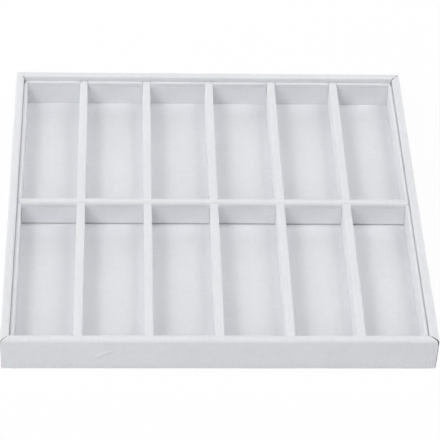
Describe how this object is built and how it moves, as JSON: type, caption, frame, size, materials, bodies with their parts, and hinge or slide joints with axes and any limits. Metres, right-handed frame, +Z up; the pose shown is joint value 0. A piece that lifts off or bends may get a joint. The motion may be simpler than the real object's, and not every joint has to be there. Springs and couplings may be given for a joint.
{
  "type": "sunglasses storage tray",
  "caption": "Shallow open tray wrapped in pale leatherette, with a lift-out grid of half-lapped wrapped dividers that keeps folded sunglasses in separate compartments.",
  "frame": {"origin": "on the surface that the tray stands on, under the middle of the tray", "axes": "+X to the right along the six columns, +Y to the back, +Z up"},
  "size_m": [0.38, 0.376, 0.0345],
  "materials": {
    "leatherette": "off-white leatherette with a fine linen grain, matt",
    "floor_lining": "off-white lining cloth with a fine linen grain",
    "board_core": "raw fibreboard, cut edges",
    "underside_sheet": "plain lining paper"
  },
  "bodies": {
    "tray": {"bottom_sheet": "underside_sheet", "base_board": "board_core", "floor_cloth": "floor_lining", "front_wall_board": "board_core", "back_wall_board": "board_core", "left_wall_board": "board_core", "right_wall_board": "board_core", "front_wall_cover": "leatherette", "back_wall_cover": "leatherette", "left_wall_cover": "leatherette", "right_wall_cover": "leatherette"},
    "divider_grid": {"front_strip_board": "board_core", "back_strip_board": "board_core", "left_strip_board": "board_core", "right_strip_board": "board_core", "front_strip_cover": "leatherette", "back_strip_cover": "leatherette", "left_strip_cover": "leatherette", "right_strip_cover": "leatherette", "long_divider_board": "board_core", "long_divider_cover": "leatherette", "cross_divider_1_board": "board_core", "cross_divider_2_board": "board_core", "cross_divider_3_board": "board_core", "cross_divider_4_board": "board_core", "cross_divider_5_board": "board_core", "cross_divider_1_cover": "leatherette", "cross_divider_2_cover": "leatherette", "cross_divider_3_cover": "leatherette", "cross_divider_4_cover": "leatherette", "cross_divider_5_cover": "leatherette"}
  },
  "joints": [
    {"name": "grid_lift", "type": "slide", "parent": "tray", "child": "divider_grid", "axis": [0, 0, 1], "range_m": [0, 0.045]}
  ]
}
